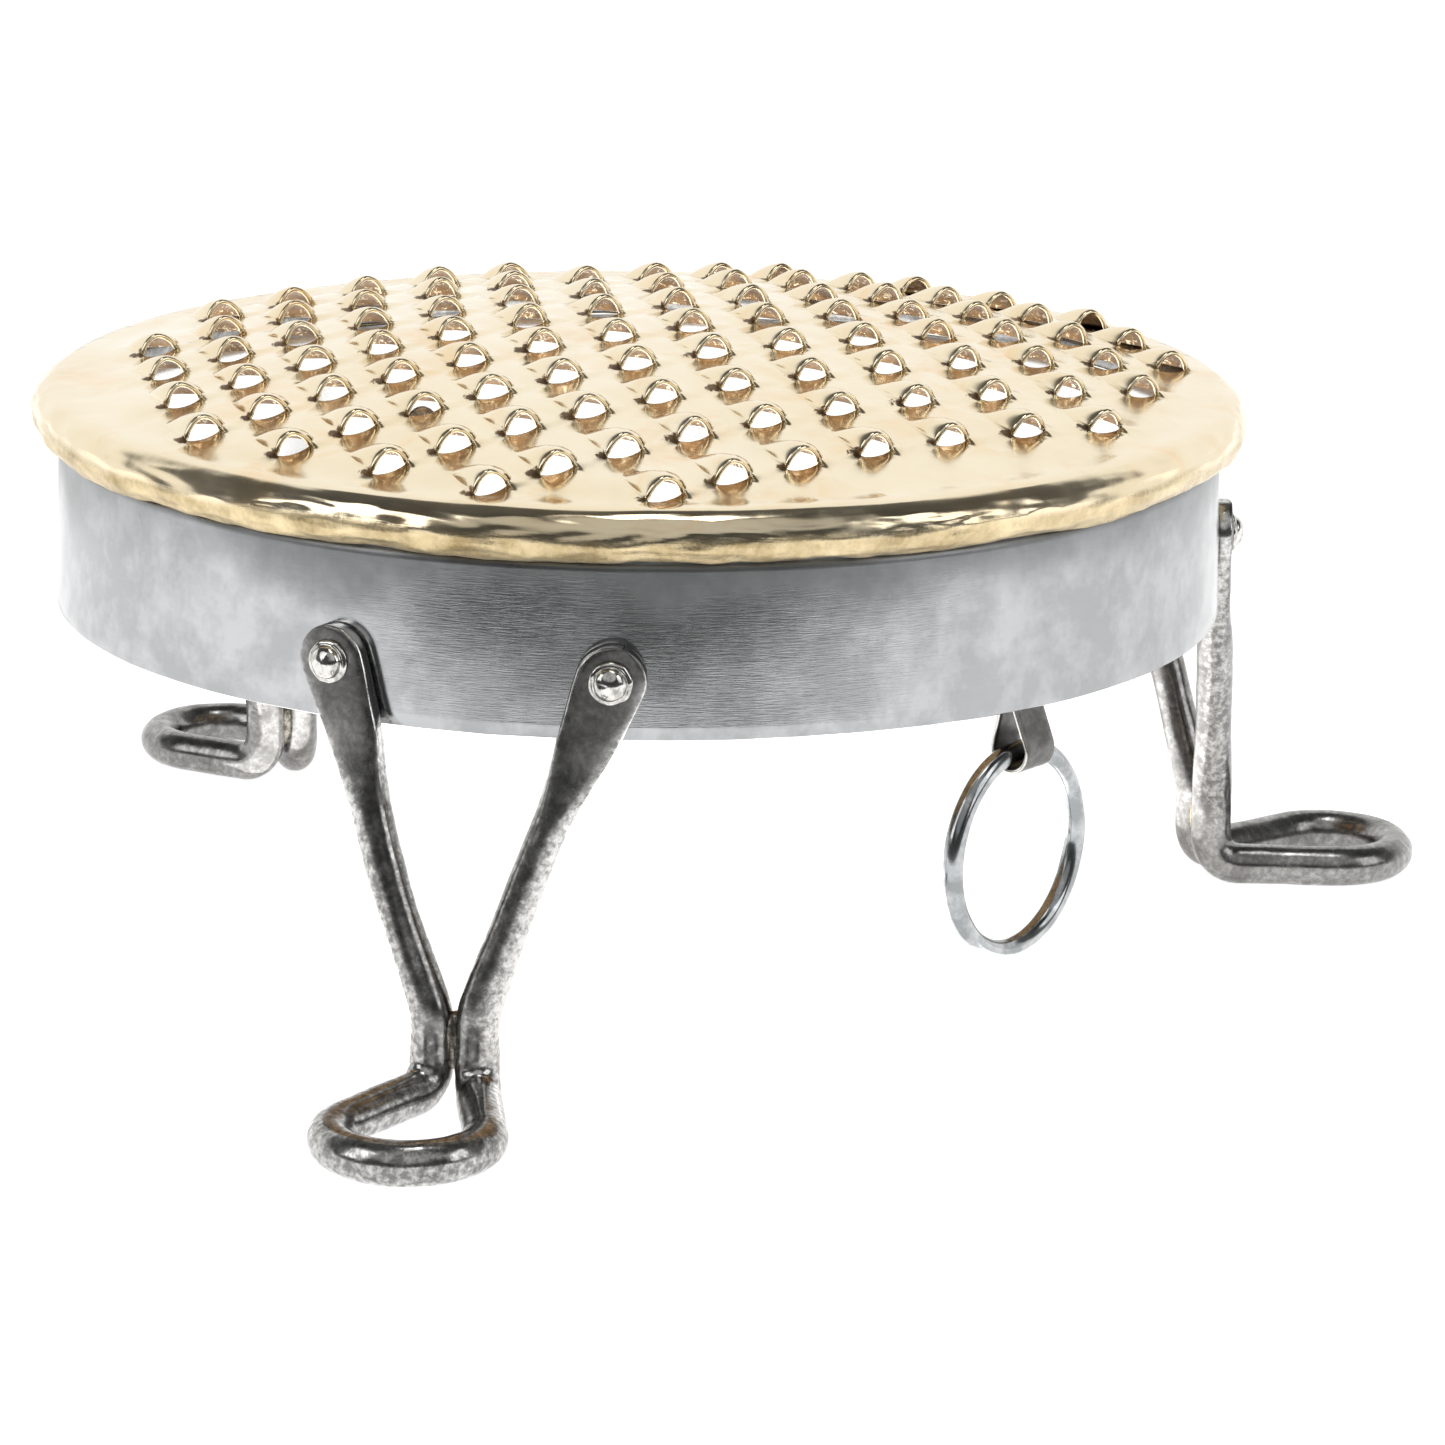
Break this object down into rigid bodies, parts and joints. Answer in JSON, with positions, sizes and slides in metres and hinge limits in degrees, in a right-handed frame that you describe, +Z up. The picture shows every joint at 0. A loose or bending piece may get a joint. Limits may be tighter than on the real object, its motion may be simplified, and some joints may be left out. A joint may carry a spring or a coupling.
{
  "type": "footed round grater",
  "caption": "Domed brass grating plate with hooded teeth, wired to a steel skirt on riveted round-bar legs with looped feet, with a loose hanging ring.",
  "frame": {"origin": "middle of the footprint, on the surface that the feet stand on. The dome's axis is 26.9 mm towards -X and 17.5 mm towards +Y of it, because the three legs aren't evenly spaced", "axes": "+Z up, -Y towards the front leg, +X towards the right leg"},
  "size_m": [0.3538, 0.3784, 0.1568],
  "materials": {
    "brass": "polished, with a hammered rim and dark patina beside the teeth",
    "skirt_steel": "bare, satin, mottled",
    "forged_steel": "dark forge scale, pitted, worn bright on the high spots",
    "rivet_steel": "bright, hammered",
    "strap_steel": "satin",
    "bright_zinc": "bright plated, lightly worn",
    "braze": "dull, oxidised"
  },
  "bodies": {
    "stand": {"grater_plate": "brass", "rim_hoop": "forged_steel", "skirt_band": "skirt_steel", "ring_strap": "strap_steel", "strap_rivet": "skirt_steel", "leg_front": "forged_steel", "braze_front": "braze", "rivet_front_left": "rivet_steel", "rivet_front_right": "rivet_steel", "leg_right": "forged_steel", "braze_right": "braze", "rivet_right_left": "rivet_steel", "rivet_right_right": "rivet_steel", "leg_rear": "forged_steel", "braze_rear": "braze", "rivet_rear_left": "rivet_steel", "rivet_rear_right": "rivet_steel"},
    "ring": {"hanging_ring": "bright_zinc"}
  },
  "joints": [
    {"name": "ring_swing", "type": "hinge", "parent": "stand", "child": "ring", "pos_m": [0.06318, -0.0898, 0.07516], "axis": [-0.6293, -0.7771, 0], "range_deg": [-150, 130]}
  ]
}
